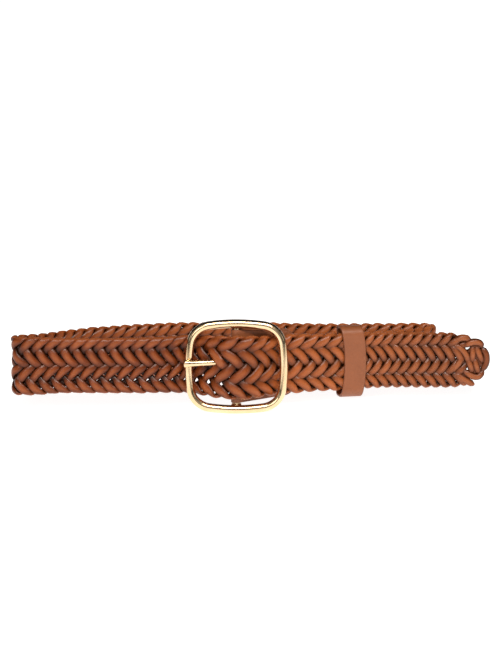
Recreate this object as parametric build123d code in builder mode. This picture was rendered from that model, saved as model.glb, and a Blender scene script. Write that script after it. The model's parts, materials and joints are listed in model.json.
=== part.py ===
from build123d import *
import math
import os

# A braided leather belt, buckled into a flattened loop that stands on its lower edge.
# Millimetres, +Z up, -Y is the buckle side, +X runs towards the free tip.
# The whole loop is drawn on loop_plane: its x runs along the belt, its y goes from the
# buckle to the back run, and its z is the width of the strap, measured from mid-width.

# strap
thong_count = 9
strap_width = 40.0
strap_thickness = 5.8
lane_gap = 0.04
lane_corner = 2.0

# buckle frame, a round rod bent into a rounded square with bowed sides
rod_radius = 2.9
frame_half_length = 31.3
frame_half_height = 28.8
side_bow_radius = 110.0
top_bow_radius = 130.0
frame_corner_radius = 14.5

# centre bar and its lugs, behind the frame
bar_radius = 2.0
bar_y = 3.0
bar_fit = 0.02
bar_inset = 0.8
bar_chamfer = 0.3
lug_length = 7.0
lug_depth = 6.4
lug_height = 3.6
lug_corner = 1.2
lug_bore_inset = 0.6

# prong
prong_radius = 2.3
prong_height = 3.0
prong_reach = 36.2
prong_rest_gap = 0.05
prong_tip_rounding = 1.3
eye_wall = 1.8
eye_fit = 0.05
slot_gap = 0.35
prong_slot = (-22.0, -3.0)

# leather tab (chape) folded round the centre bar
tab_thickness = 1.6
tab_half_height = 24.6
tab_end_half_height = 21.4
tab_end_x = 39.5
tab_bar_fit = 0.05
tab_gap = 0.6
tab_corner_radius = 8.0
tab_slot = (-8.0, 4.6)
tab_bend_lead = 2.5
tab_bend_radius = 14.0
tab_root_bend_radius = 8.0

# keeper
keeper_width = 15.0
keeper_thickness = 1.7
keeper_height = 48.0
keeper_gap = 0.35
keeper_station = 77.0
keeper_inner_corner = 4.0

# the gap between the two layers at the keeper, and the rounding of the free tip
layer_gap = 0.6
tip_setback = 15.0

# binding tape round the thongs' cut ends
binding_thickness = 0.45
binding_length = 9.0
binding_fit = 0.05
binding_to_tab = 0.15

# stitches
thread_width = 0.8
thread_height = 0.35
stitch_length = 3.0
stitch_pitch = 4.2
stitches_per_column = 9
outer_column_inset = 3.0
inner_column_x = 19.0
keeper_stitch_length = 5.0
keeper_stitch_count = 5

# The strap's route seen from above: corners of its centre line and their bend radii.
# It starts inside the tab, runs right behind the tip, turns back, comes round the left
# fold to the buckle, passes over the centre bar and ends in the free tip.
run_angle = math.radians(13.0)
front_corner = (31.0, 9.6)
front_bend_x = 104.0
bar_crossing_y = -4.9
back_run_y = 71.5
layer_pitch = (strap_thickness + layer_gap) / math.cos(run_angle)


def front_run_y(x):
    """Centre line of the outer layer along the straight run through the keeper."""
    return front_corner[1] + (x - front_corner[0]) * math.tan(run_angle)


route = [
    (15.0, 12.9),
    (33.0, 19.3),
    (54.0, front_run_y(54.0) + layer_pitch),
    (107.0, front_run_y(107.0) + layer_pitch),
    (137.0, 55.5),
    (131.5, 66.0),
    (62.0, 64.5),
    (10.0, back_run_y),
    (-50.0, back_run_y),
    (-104.0, 49.0),
    (-147.2, 9.0),
    (-147.2, 1.6),
    (-54.0, 4.0),
    (-32.5, 10.2),
    (-7.0, bar_crossing_y),
    (7.0, bar_crossing_y),
    front_corner,
    (front_bend_x, front_run_y(front_bend_x)),
]
bend_radii = [40, 30, 24, 8, 7, 150, 120, 90, 80, 5.0, 5.0, 60, 11, 10, 10, 11, 40]
tip = (170.0, 27.0)

# The frame reaches lower than the strap, so the loop leans back until the bottom of the
# frame and the rounded lower edge of the back run both rest on the ground.
edge_y = strap_thickness / 2 - lane_corner
edge_z = (strap_width - lane_gap) / 2 - lane_corner
back_reach = back_run_y + edge_y
frame_overhang = frame_half_height - edge_z
lean = math.atan2(frame_overhang, back_reach)
lean += math.asin((rod_radius - lane_corner) / math.hypot(frame_overhang, back_reach))
ground_lift = back_reach * math.sin(lean) + edge_z * math.cos(lean) + lane_corner

# The origin sits on the ground, under the middle of the standing belt.
left_end = route[10][0] - strap_thickness / 2
mid_x = (left_end + tip[0]) / 2
mid_y = (bar_crossing_y + back_run_y) / 2 * math.cos(lean)

loop_plane = Plane(
    origin=(-mid_x, -mid_y, ground_lift),
    x_dir=(1, 0, 0),
    z_dir=(0, math.sin(lean), math.cos(lean)),
)
strap_up = loop_plane.z_dir


def upright_plane(x, y, angle):
    """Plane across the strap at (x, y): its x is the strap's width, its normal the run."""
    along = loop_plane.x_dir * math.cos(angle) + loop_plane.y_dir * math.sin(angle)
    return Plane(origin=loop_plane.from_local_coords((x, y, 0)), x_dir=strap_up, z_dir=along)


# The prong leans forward just enough to rest on the left side of the frame.
rest_distance = rod_radius + prong_radius + prong_rest_gap
prong_lean = math.atan2(bar_y, frame_half_length)
prong_lean += math.asin(rest_distance / math.hypot(bar_y, frame_half_length))

os.makedirs("parts", exist_ok=True)


# Buckle frame: a rod swept round a square whose four sides are shallow arcs. A lug behind
# the middle of its top and bottom sides holds each end of the centre bar.
front_view = Plane(
    origin=loop_plane.origin, x_dir=loop_plane.x_dir, z_dir=-loop_plane.y_dir
)
with BuildSketch(front_view) as frame_outline:
    with Locations((frame_half_length - side_bow_radius, 0)):
        Circle(side_bow_radius)
    with Locations((side_bow_radius - frame_half_length, 0)):
        Circle(side_bow_radius, mode=Mode.INTERSECT)
    with Locations((0, frame_half_height - top_bow_radius)):
        Circle(top_bow_radius, mode=Mode.INTERSECT)
    with Locations((0, top_bow_radius - frame_half_height)):
        Circle(top_bow_radius, mode=Mode.INTERSECT)
    fillet(frame_outline.vertices(), frame_corner_radius)
rod_route = frame_outline.sketch.face().outer_wire()
rod_start = Plane(origin=rod_route @ 0, z_dir=rod_route % 0)

bar_axis_plane = Plane(loop_plane.from_local_coords((0, bar_y, 0)), loop_plane.x_dir, strap_up)
with BuildPart() as buckle_frame:
    with BuildSketch(rod_start):
        Circle(rod_radius)
    sweep(path=rod_route)
    for side in (-1, 1):
        lug_centre = side * (frame_half_height - lug_height / 2)
        with BuildSketch(front_view.offset(-lug_depth)):
            with Locations((0, lug_centre)):
                RectangleRounded(lug_length, lug_height, lug_corner)
        extrude(amount=lug_depth)
    with BuildSketch(bar_axis_plane):
        Circle(bar_radius + bar_fit)
    extrude(amount=frame_half_height - lug_bore_inset, both=True, mode=Mode.SUBTRACT)
buckle_frame.part.label = "buckle_frame"
export_step(buckle_frame.part, "parts/buckle_frame.step")

# Centre bar: a plain pin seated in the two lugs, hidden inside the leather tab.
with BuildPart() as centre_bar:
    with BuildSketch(bar_axis_plane):
        Circle(bar_radius)
    extrude(amount=frame_half_height - bar_inset, both=True)
    chamfer(centre_bar.edges().filter_by(GeomType.CIRCLE), bar_chamfer)
centre_bar.part.label = "centre_bar"
export_step(centre_bar.part, "parts/centre_bar.step")

# Prong: a round pin with a blunt rounded tip, its eye closed round the centre bar.
eye_radius = bar_radius + eye_fit + eye_wall
prong_axis = -loop_plane.x_dir * math.cos(prong_lean) - loop_plane.y_dir * math.sin(prong_lean)
prong_root = loop_plane.from_local_coords((0, bar_y, prong_height))
with BuildPart() as prong:
    with BuildSketch(Plane(prong_root, prong_axis, strap_up)):
        Circle(eye_radius)
    extrude(amount=prong_radius, both=True)
    with BuildSketch(Plane(prong_root, strap_up, prong_axis)):
        Circle(prong_radius)
    extrude(amount=prong_reach)
    with BuildSketch(Plane(prong_root, prong_axis, strap_up)):
        Circle(bar_radius + eye_fit)
    extrude(amount=prong_radius + 1, both=True, mode=Mode.SUBTRACT)
    fillet(prong.faces().sort_by(Axis(prong_root, prong_axis))[-1].edges(), prong_tip_rounding)
prong.part.label = "prong"
export_step(prong.part, "parts/prong.step")

# The nine thongs: side-by-side lanes that follow the route, each one plaited thong's share
# of the strap. The lanes end on a rounded tip, and the two beside the prong make way for it.
lane_pitch = strap_width / thong_count
slot_half_height = prong_radius + slot_gap
for number in range(1, thong_count + 1):
    lane_centre = (number - (thong_count + 1) / 2) * lane_pitch
    across = 2 * lane_centre / strap_width
    end_x = tip[0] - tip_setback * (1 - math.sqrt(1 - across**2))
    with BuildPart() as thong:
        with BuildLine(loop_plane.offset(lane_centre)) as lane_route:
            FilletPolyline(*route, (end_x, tip[1]), radius=bend_radii)
        lane_wire = lane_route.wires()[0]
        with BuildSketch(Plane(lane_wire @ 0, strap_up, lane_wire % 0)):
            RectangleRounded(lane_pitch - lane_gap, strap_thickness, lane_corner)
        sweep(path=lane_wire)
        if abs(lane_centre - prong_height) < lane_pitch / 2 + slot_half_height:
            with BuildSketch(front_view):
                with Locations((sum(prong_slot) / 2, prong_height)):
                    Rectangle(prong_slot[1] - prong_slot[0], 2 * slot_half_height)
            extrude(amount=3 * strap_thickness, both=True, mode=Mode.SUBTRACT)
    thong.part.label = f"thong_{number}"
    export_step(thong.part, f"parts/thong_{number}.step")

# End binding: a thin tape folded round the cut ends of the thongs, inside the tab.
braid_angle = math.atan2(route[1][1] - route[0][1], route[1][0] - route[0][0])
binding_plane = upright_plane(route[0][0], route[0][1], braid_angle)
binding_inside = strap_thickness + 2 * binding_fit
with BuildPart() as end_binding:
    with BuildSketch(binding_plane.offset(-binding_thickness - binding_fit)):
        Rectangle(strap_width, binding_inside + 2 * binding_thickness)
    extrude(amount=binding_length + binding_thickness)
    with BuildSketch(binding_plane.offset(-binding_fit)):
        Rectangle(strap_width + 1, binding_inside)
    extrude(amount=binding_length + 1, mode=Mode.SUBTRACT)
end_binding.part.label = "end_binding"
export_step(end_binding.part, "parts/end_binding.step")

# Leather tab: one strip folded round the centre bar. Its front leg lies behind the free end
# of the strap, its back leg behind the thongs' cut ends, and both end in rounded corners.
fold_radius = bar_radius + tab_bar_fit + tab_thickness / 2
front_offset = strap_thickness / 2 + tab_gap + tab_thickness / 2
back_offset = binding_inside / 2 + binding_thickness + binding_to_tab + tab_thickness / 2
entry_angle = math.atan2(front_corner[1] - route[15][1], front_corner[0] - route[15][0])
braid_end_angle = math.atan2(route[2][1] - route[1][1], route[2][0] - route[1][0])


def beside(corner, angle_in, angle_out, distance):
    """Corner of a line that runs beside the strap, a distance behind its centre line."""
    middle = (angle_in + angle_out) / 2
    reach = distance / math.cos((angle_out - angle_in) / 2)
    return (corner[0] - reach * math.sin(middle), corner[1] + reach * math.cos(middle))


def fold_tangent(point, side):
    """Direction, from the centre bar, of the fold's tangent point for a leg through point."""
    away = math.hypot(point[0], point[1] - bar_y)
    towards = math.atan2(point[1] - bar_y, point[0])
    return towards + side * math.acos(fold_radius / away)


front_bend = beside(front_corner, entry_angle, run_angle, front_offset)
front_end = (tab_end_x, front_run_y(tab_end_x) + front_offset / math.cos(run_angle))
lead = (
    route[0][0] - tab_bend_lead * math.cos(braid_angle),
    route[0][1] - tab_bend_lead * math.sin(braid_angle),
)
inner_bend = beside(lead, braid_angle, braid_angle, back_offset)
back_bend = beside(route[1], braid_angle, braid_end_angle, back_offset)
back_end_y = back_bend[1] + (tab_end_x - back_bend[0]) * math.tan(braid_end_angle)
front_tangent = fold_tangent(front_bend, -1)
back_tangent = fold_tangent(inner_bend, 1)


def fold_point(angle):
    """Point of the fold's centre line in a direction from the centre bar."""
    return (fold_radius * math.cos(angle), bar_y + fold_radius * math.sin(angle))


with BuildPart() as chape:
    with BuildLine(loop_plane) as tab_route:
        FilletPolyline(
            front_end, front_bend, fold_point(front_tangent), radius=[tab_bend_radius]
        )
        CenterArc(
            (0, bar_y),
            fold_radius,
            math.degrees(front_tangent),
            math.degrees(back_tangent - front_tangent) - 360,
        )
        FilletPolyline(
            fold_point(back_tangent),
            inner_bend,
            back_bend,
            (tab_end_x, back_end_y),
            radius=[tab_root_bend_radius, tab_bend_radius],
        )
    tab_wire = tab_route.wires()[0]
    with BuildSketch(Plane(tab_wire @ 0, strap_up, tab_wire % 0)):
        Rectangle(2 * tab_half_height, tab_thickness)
    sweep(path=tab_wire)
    with BuildSketch(front_view) as tab_outline:
        with BuildLine():
            Polyline(
                (-tab_half_height, -tab_half_height),
                (0, -tab_half_height),
                (tab_end_x, -tab_end_half_height),
                (tab_end_x, tab_end_half_height),
                (0, tab_half_height),
                (-tab_half_height, tab_half_height),
                close=True,
            )
        make_face()
        fillet(tab_outline.vertices().group_by(Axis.X)[-1], tab_corner_radius)
    extrude(amount=tab_end_x, both=True, mode=Mode.INTERSECT)
    with BuildSketch(front_view):
        with Locations(((tab_slot[0] + tab_slot[1]) / 2, prong_height)):
            Rectangle(tab_slot[1] - tab_slot[0], 2 * slot_half_height)
    extrude(amount=bar_y + 2 * eye_radius, both=True, mode=Mode.SUBTRACT)
chape.part.label = "chape"
export_step(chape.part, "parts/chape.step")

# Stitches through the tab and the thongs: two columns, each shown on both outer faces.
tab_face = tab_thickness / 2


def leg_face(corner, angle, x, side):
    """Plane on a leg's outer face at x; side -1 is the front face, +1 the back face."""
    y = corner[1] + (x - corner[0]) * math.tan(angle)
    centre = loop_plane.from_local_coords((x, y, 0))
    outward = side * (loop_plane.y_dir * math.cos(angle) - loop_plane.x_dir * math.sin(angle))
    return Plane(origin=centre + outward * tab_face, x_dir=strap_up, z_dir=outward)


front_leg_angle = math.atan2(
    front_bend[1] - fold_point(front_tangent)[1], front_bend[0] - fold_point(front_tangent)[0]
)
stitch_faces = [
    leg_face(front_end, run_angle, tab_end_x - outer_column_inset, -1),
    leg_face(front_bend, front_leg_angle, inner_column_x, -1),
    leg_face(back_bend, braid_end_angle, tab_end_x - outer_column_inset, 1),
    leg_face(back_bend, braid_angle, inner_column_x, 1),
]
with BuildPart() as chape_stitching:
    for face_plane in stitch_faces:
        with BuildSketch(face_plane):
            with GridLocations(stitch_pitch, 0, stitches_per_column, 1):
                SlotOverall(stitch_length, thread_width)
        extrude(amount=thread_height)
chape_stitching.part.label = "chape_stitching"
export_step(chape_stitching.part, "parts/chape_stitching.step")

# Keeper: a leather band closed round both layers of the strap, its cut ends butted together
# in the middle of the back and held by a short row of stitches.
keeper_y = front_run_y(keeper_station) + layer_pitch / 2
keeper_plane = upright_plane(keeper_station, keeper_y, run_angle)
keeper_depth = 2 * strap_thickness + layer_gap + 2 * keeper_gap
keeper_outer_corner = keeper_inner_corner + keeper_thickness
with BuildPart() as keeper_loop:
    with BuildSketch(keeper_plane):
        RectangleRounded(
            keeper_height, keeper_depth + 2 * keeper_thickness, keeper_outer_corner
        )
        RectangleRounded(
            keeper_height - 2 * keeper_thickness,
            keeper_depth,
            keeper_inner_corner,
            mode=Mode.SUBTRACT,
        )
    extrude(amount=keeper_width / 2, both=True)
keeper_loop.part.label = "keeper_loop"
export_step(keeper_loop.part, "parts/keeper_loop.step")

keeper_back = keeper_plane.y_dir * (keeper_depth / 2 + keeper_thickness)
keeper_outward = keeper_plane.y_dir
if keeper_outward.dot(loop_plane.y_dir) < 0:
    keeper_back = -keeper_back
    keeper_outward = -keeper_outward
with BuildPart() as keeper_stitches:
    with BuildSketch(Plane(keeper_plane.origin + keeper_back, strap_up, keeper_outward)):
        with GridLocations(0, keeper_width / keeper_stitch_count, 1, keeper_stitch_count):
            SlotOverall(keeper_stitch_length, thread_width)
    extrude(amount=thread_height)
keeper_stitches.part.label = "keeper_stitches"
export_step(keeper_stitches.part, "parts/keeper_stitches.step")
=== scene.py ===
import json
import math

import bmesh
import bpy
import numpy as np
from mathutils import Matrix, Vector


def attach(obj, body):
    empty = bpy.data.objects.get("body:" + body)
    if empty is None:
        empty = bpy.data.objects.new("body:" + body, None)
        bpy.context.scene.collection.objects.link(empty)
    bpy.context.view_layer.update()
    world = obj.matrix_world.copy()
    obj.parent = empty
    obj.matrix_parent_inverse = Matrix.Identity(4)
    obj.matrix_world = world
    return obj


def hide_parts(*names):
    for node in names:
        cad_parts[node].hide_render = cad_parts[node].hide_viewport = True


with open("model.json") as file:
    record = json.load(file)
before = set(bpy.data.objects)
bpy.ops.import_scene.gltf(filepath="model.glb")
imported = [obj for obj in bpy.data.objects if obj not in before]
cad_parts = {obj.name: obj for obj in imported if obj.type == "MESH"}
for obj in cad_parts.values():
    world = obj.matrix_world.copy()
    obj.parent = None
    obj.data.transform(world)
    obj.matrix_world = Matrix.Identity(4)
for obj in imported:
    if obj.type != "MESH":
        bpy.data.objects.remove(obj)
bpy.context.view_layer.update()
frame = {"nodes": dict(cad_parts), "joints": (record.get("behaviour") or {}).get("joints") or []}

# ---- the belt's own frame
# u runs along the belt, v from the buckle to the back run, w across the strap's width.
# All sizes are in millimetres in this frame; place() turns them into metres in the part's.
MM = 0.001
BAR_V = 3.0
joints = {joint["name"]: joint for joint in frame["joints"]}
hinge = joints["buckle_hinge"]
U_AXIS = np.array([1.0, 0.0, 0.0])
W_AXIS = np.array(hinge["axis"], float)
V_AXIS = np.cross(W_AXIS, U_AXIS)
ORIGIN = np.array(hinge["pos_m"], float) - BAR_V * MM * V_AXIS
RUN_AXIS = np.array(joints["keeper_slide"]["axis"], float)
RUN_ANGLE = math.atan2(RUN_AXIS @ V_AXIS, RUN_AXIS @ U_AXIS)
UP = np.array([0, 0, 1.0])


def place(points):
    """Points (..., 3) in the belt's frame, millimetres, as metres in the part's frame."""
    points = np.asarray(points, float) * MM
    moved = points[..., :1] * U_AXIS + points[..., 1:2] * V_AXIS + points[..., 2:] * W_AXIS
    return ORIGIN + moved


def unit(vectors):
    """Vectors scaled to length 1."""
    return vectors / np.linalg.norm(vectors, axis=-1, keepdims=True)


# ---- the strap's route
STRAP_THICKNESS = 5.8
LAYER_GAP = 0.6
LAYER_PITCH = (STRAP_THICKNESS + LAYER_GAP) / math.cos(RUN_ANGLE)
FRONT_CORNER = (31.0, 9.6)
BACK_V = 71.5
OVER_BAR_V = -4.9


def front_run_v(u):
    """Centre line of the outer layer along the straight run through the keeper."""
    return FRONT_CORNER[1] + (u - FRONT_CORNER[0]) * math.tan(RUN_ANGLE)


ROUTE = [
    (15.0, 12.9), (33.0, 19.3), (54.0, front_run_v(54.0) + LAYER_PITCH),
    (107.0, front_run_v(107.0) + LAYER_PITCH), (137.0, 55.5), (131.5, 66.0), (62.0, 64.5),
    (10.0, BACK_V), (-50.0, BACK_V), (-104.0, 49.0), (-147.2, 9.0), (-147.2, 1.6), (-54.0, 4.0),
    (-32.5, 10.2), (-7.0, OVER_BAR_V), (7.0, OVER_BAR_V), FRONT_CORNER,
    (104.0, front_run_v(104.0)), (170.0, 27.0),
]
BEND_RADII = [40, 30, 24, 8, 7, 150, 120, 90, 80, 5.0, 5.0, 60, 11, 10, 10, 11, 40]
STEP = 0.5
ROUTE_SOFTNESS = 1.6


def rounded_route(corners, radii, step):
    """Points along a polyline whose corners are replaced by tangent arcs."""
    corners = [np.array(corner, float) for corner in corners]
    points = [corners[0]]
    for before, corner, after, radius in zip(corners, corners[1:], corners[2:], radii):
        back = unit(before - corner)
        ahead = unit(after - corner)
        half = math.acos(np.clip(back @ ahead, -1, 1)) / 2
        start = corner + back * radius / math.tan(half)
        centre = corner + unit(back + ahead) * radius / math.sin(half)
        spoke = start - centre
        turn = (math.pi - 2 * half) * np.sign(-back[0] * ahead[1] + back[1] * ahead[0])
        for angle in np.linspace(0, turn, max(2, int(abs(turn) * radius / step))):
            cos, sin = math.cos(angle), math.sin(angle)
            points.append(centre + [spoke[0] * cos - spoke[1] * sin, spoke[0] * sin + spoke[1] * cos])
    points.append(corners[-1])
    return np.array(points)


def arc_lengths(points):
    """Distance along the line at each of its points."""
    return np.r_[0, np.cumsum(np.linalg.norm(np.diff(points, axis=0), axis=1))]


def resampled(points, stations):
    """Points of the same line at other distances along it."""
    lengths = arc_lengths(points)
    keep = np.r_[True, np.diff(lengths) > 1e-9]
    return np.stack([np.interp(stations, lengths[keep], axis) for axis in points[keep].T], -1)


def evenly(points, step):
    """The same line with evenly spaced points, and their distances along it."""
    length = arc_lengths(points)[-1]
    stations = np.linspace(0, length, int(round(length / step)) + 1)
    return resampled(points, stations), stations


def smoothed(points, reach):
    """Points blurred along the line, with both ends carried straight on."""
    count = int(3 * reach / STEP)
    kernel = np.exp(-0.5 * (np.arange(-count, count + 1) * STEP / reach) ** 2)
    kernel /= kernel.sum()
    head = points[0] + (points[0] - points[1]) * np.arange(count, 0, -1)[:, None]
    tail = points[-1] + (points[-1] - points[-2]) * np.arange(1, count + 1)[:, None]
    padded = np.vstack([head, points, tail])
    return np.stack([np.convolve(axis, kernel, mode="valid") for axis in padded.T], -1)


line, _ = evenly(rounded_route(ROUTE, BEND_RADII, STEP), STEP)
line, line_s = evenly(smoothed(line, ROUTE_SOFTNESS), STEP)
line_t = unit(np.gradient(line, axis=0))
LENGTH = line_s[-1]


def station(u, v):
    """Distance along the strap of the point nearest to (u, v)."""
    return line_s[np.argmin(np.hypot(line[:, 0] - u, line[:, 1] - v))]


def route_point(s):
    """Centre line position and outward normal at distances s."""
    centre = np.stack([np.interp(s, line_s, line[:, axis]) for axis in (0, 1)], -1)
    along = np.stack([np.interp(s, line_s, line_t[:, axis]) for axis in (0, 1)], -1)
    along = unit(along)
    return centre, np.stack([along[..., 1], -along[..., 0]], -1)


# ---- the plait
THONGS = 9
THONG_THICKNESS = 3.1
# A thong makes four floats on its way down, one in each row, and four on its way up.
FLOATS = 8
S_FOLD_RIGHT = station(134, 60)
S_BACK = station(0, BACK_V)
S_FOLD_LEFT = station(-147.2, 5)
S_LEFT_RUN = station(-95, 3)
S_LEFT_ROD = station(-31, 9)
S_BAR = station(0, OVER_BAR_V)
S_RIGHT_ROD = station(31, 9)
S_KEEPER = station(77, front_run_v(77.0))
S_TIP = LENGTH
S_TUCK = S_TIP - 13.0

# Each table below gives values at distances along the strap.
# A thong's width as a share of the room that it has between its neighbours in a row.
WIDTH_SHARE_AT = [
    (0, 0.92), (S_BACK, 0.96), (S_FOLD_LEFT - 20, 0.95), (S_FOLD_LEFT, 0.96), (S_LEFT_RUN, 1.0),
    (S_LEFT_ROD, 0.98), (S_BAR, 0.95), (S_KEEPER, 0.93), (S_TIP - 45, 0.94), (S_TIP - 30, 0.97),
    (S_TIP, 0.97),
]
# Spacing of the floats along a row, and half the strap's width.
PITCH_AT = [
    (0, 8.4), (S_BACK, 8.0), (S_FOLD_LEFT, 8.2), (S_LEFT_RUN, 8.2), (S_LEFT_ROD - 12, 8.3),
    (S_BAR, 10.4), (S_RIGHT_ROD, 9.4), (S_KEEPER - 8, 8.6), (S_KEEPER + 10, 6.7), (S_TIP, 6.4),
]
HALF_WIDTH_AT = [
    (0, 19.0), (S_FOLD_RIGHT, 19.4), (S_BACK, 19.0), (S_FOLD_LEFT - 25, 18.6),
    (S_FOLD_LEFT, 20.0), (S_FOLD_LEFT + 12, 19.9), (S_FOLD_LEFT + 35, 18.5),
    (S_LEFT_ROD - 25, 18.8), (S_LEFT_ROD, 20.0), (S_BAR, 21.6), (S_RIGHT_ROD, 20.2),
    (S_KEEPER - 20, 19.7), (S_KEEPER + 15, 19.2), (S_TIP - 28, 19.2), (S_TIP - 12, 16.3),
    (S_TIP - 4, 11.0), (S_TIP, 8.0),
]
# Each float starts steep and ends flat where the value is negative, and the other way round
# where it is positive: the plait was pulled one way before the buckle and the other way after.
SKEW_AT = [
    (0, -0.010), (S_LEFT_RUN, -0.017), (S_LEFT_ROD, -0.008), (S_BAR, 0.008),
    (S_RIGHT_ROD, 0.015), (S_TIP, 0.017),
]
# How much narrower a thong is where it folds over an edge.
PINCH_AT = [
    (0, 0.12), (S_BACK, 0.18), (S_LEFT_RUN, 0.06), (S_BAR, 0.08), (S_RIGHT_ROD, 0.18),
    (S_TIP, 0.18),
]
TIP_DROP_AT = [(0, 0.0), (S_TIP - 30, 0.0), (S_TIP - 12, -1.7), (S_TIP, -1.7)]


def along_strap(table, s):
    """A smooth curve through (distance, value) pairs."""
    stations, values = np.array(table, float).T
    steps = np.interp(s, stations, np.arange(len(stations)))
    low = np.minimum(steps.astype(int), len(stations) - 2)
    part = steps - low
    part = part * part * (3 - 2 * part)
    return values[low] * (1 - part) + values[low + 1] * part


def hump(distance, reach):
    """1 at distance 0, fading smoothly to nothing past the reach."""
    return np.exp(-((distance / reach) ** 2))


EDGE_ROUNDING = 0.996
TURN_SHARPNESS = 6
FLOAT_EASE = 0.014
DIVE_SHARPNESS = 1.45
# A thong rolls over in a seventh of its zigzag, half before the edge and half after.
EDGE_FOLDS = 7
plait_s = np.arange(-20, LENGTH + 20, STEP)
plait_count = np.cumsum(STEP / along_strap(PITCH_AT, np.clip(plait_s, 0, LENGTH)))
plait_count -= np.interp(S_BAR, plait_s, plait_count)


def plait_phase(s, thong):
    """Where a thong is in its zigzag: 0 at the top edge, 0.5 at the bottom edge."""
    return (np.interp(s, plait_s, plait_count) + thong) / THONGS


def skewed(phase, s):
    """The phase, held back or pushed on in the middle of each float."""
    return phase - along_strap(SKEW_AT, s) * (1 - np.cos(2 * FLOATS * np.pi * phase)) / 2


def zigzag(phase):
    """Height across the strap from +1 to -1, easing flatter in the middle of each float."""
    wave = np.arcsin(EDGE_ROUNDING * np.cos(2 * np.pi * phase)) / math.asin(EDGE_ROUNDING)
    going_down = np.clip(TURN_SHARPNESS * np.sin(2 * np.pi * phase), -1, 1)
    return wave - FLOAT_EASE * going_down * np.sin(2 * FLOATS * np.pi * phase)


def over_under(phase):
    """+1 on the outer face, -1 on the inner face, two crossings at a time."""
    crossing = np.sin(FLOATS * np.pi * phase)
    return -np.tanh(DIVE_SHARPNESS * crossing) / math.tanh(DIVE_SHARPNESS)


def edge_roll(phase):
    """Turn of the thong's flat side as it rolls round an edge: 0 or pi between edges."""
    part = np.clip(np.sin(2 * np.pi * phase) / math.sin(math.pi / EDGE_FOLDS), -1, 1)
    return np.pi / 2 * (1 + part * (1.5 - 0.5 * part * part))


def thong_width(s):
    """The room that a thong has between its neighbours in a row, and a little less."""
    # A thong goes down and up again, four half widths, in THONGS pitches.
    pitch = along_strap(PITCH_AT, s)
    rise = 4 * along_strap(HALF_WIDTH_AT, s) / (THONGS * pitch)
    return along_strap(WIDTH_SHARE_AT, s) * pitch * rise / np.sqrt(1 + rise**2)


FOLD_CLEAR = 8
FOLD_FADE = 25
BAR_CLEAR = 8
BAR_FADE = 12


def on_left_run(s):
    """1 along the left run, falling to 0 towards the fold and towards the buckle's bar."""
    past_fold = np.clip((s - S_FOLD_LEFT - FOLD_CLEAR) / FOLD_FADE, 0, 1)
    before_bar = np.clip((S_BAR - BAR_CLEAR - s) / BAR_FADE, 0, 1)
    return past_fold * before_bar


SLACK_W = -7.6
SLACK_REACH = 3.4
SLACKNESS = 0.27
TIGHT_W = -14.8
TIGHT_REACH = 2.6
TIGHTNESS = 0.07


def loosened(s, w):
    """The left run is slack between its two lower rows and tight at its lower edge."""
    slack = SLACKNESS * hump(w - SLACK_W, SLACK_REACH)
    tight = TIGHTNESS * hump(w - TIGHT_W, TIGHT_REACH)
    return 1 + on_left_run(s) * (tight - slack)


PINCH_START = 0.74
PINCH_SPAN = 0.2


def pinched(s, w):
    """Thongs are drawn narrower where they fold over an edge."""
    to_edge = np.abs(w) / along_strap(HALF_WIDTH_AT, s)
    return 1 - along_strap(PINCH_AT, s) * np.clip((to_edge - PINCH_START) / PINCH_SPAN, 0, 1)


TOP_ROW_W = 9.4
TOP_ROW_REACH = 6.0
TOP_ROW_RISE = 0.9
LEFT_RUN_RISE = 1.5
BUCKLE_RISE = 1.0
BUCKLE_RISE_LENGTH = 26.0
RISE_REACH = 11.0


def row_shift(s, across):
    """The top row is narrow, most of all on the left run; all rows ride high at the buckle."""
    top_row = TOP_ROW_RISE + LEFT_RUN_RISE * on_left_run(s)
    at_buckle = BUCKLE_RISE * hump(s - S_BAR, BUCKLE_RISE_LENGTH)
    return top_row * hump(across - TOP_ROW_W, TOP_ROW_REACH) + at_buckle * hump(across, RISE_REACH)


# The irregularity's waves: how quick, how large, and a number that scatters the start.
WAVES = [(1.0, 1.0, 12.9), (2.3, 0.6, 78.2), (4.7, 0.4, 37.7)]
SCATTER = 43758.5453


def wobble(s, seed, length):
    """A smooth irregularity between -1 and 1, the same on every run."""
    total = 0
    for quick, large, key in WAVES:
        start = math.modf(math.sin(seed * key) * SCATTER)[0]
        total = total + large * np.sin(s / length * quick + 6.28 * start)
    return total / 2


PRONG_W = 3.0
PRONG_RADIUS = 2.3
PRONG_REACH = 36.2
ROD_RADIUS = 2.9
FRAME_HALF_LENGTH = 31.3
FRAME_HALF_HEIGHT = 28.8
PRONG_REST_GAP = 0.05
PRONG_LEAN = math.atan2(BAR_V, FRAME_HALF_LENGTH) + math.asin(
    (ROD_RADIUS + PRONG_RADIUS + PRONG_REST_GAP) / math.hypot(BAR_V, FRAME_HALF_LENGTH)
)
# Where the prong comes through the plait, and how the thongs give way there.
HOLE_U = -14.5
HOLE_REACH = 5.0
HOLE_SPREAD = 2.4
HOLE_EASE = 0.8
LIFT = 1.3
LIFT_REACH = 9.0
PRESS = 1.4
PRESS_REACH = 11.0
LIFT_EASE = 1.5
LIFT_REACH_W = 3.0
BUCKLE_REACH = 40


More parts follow.
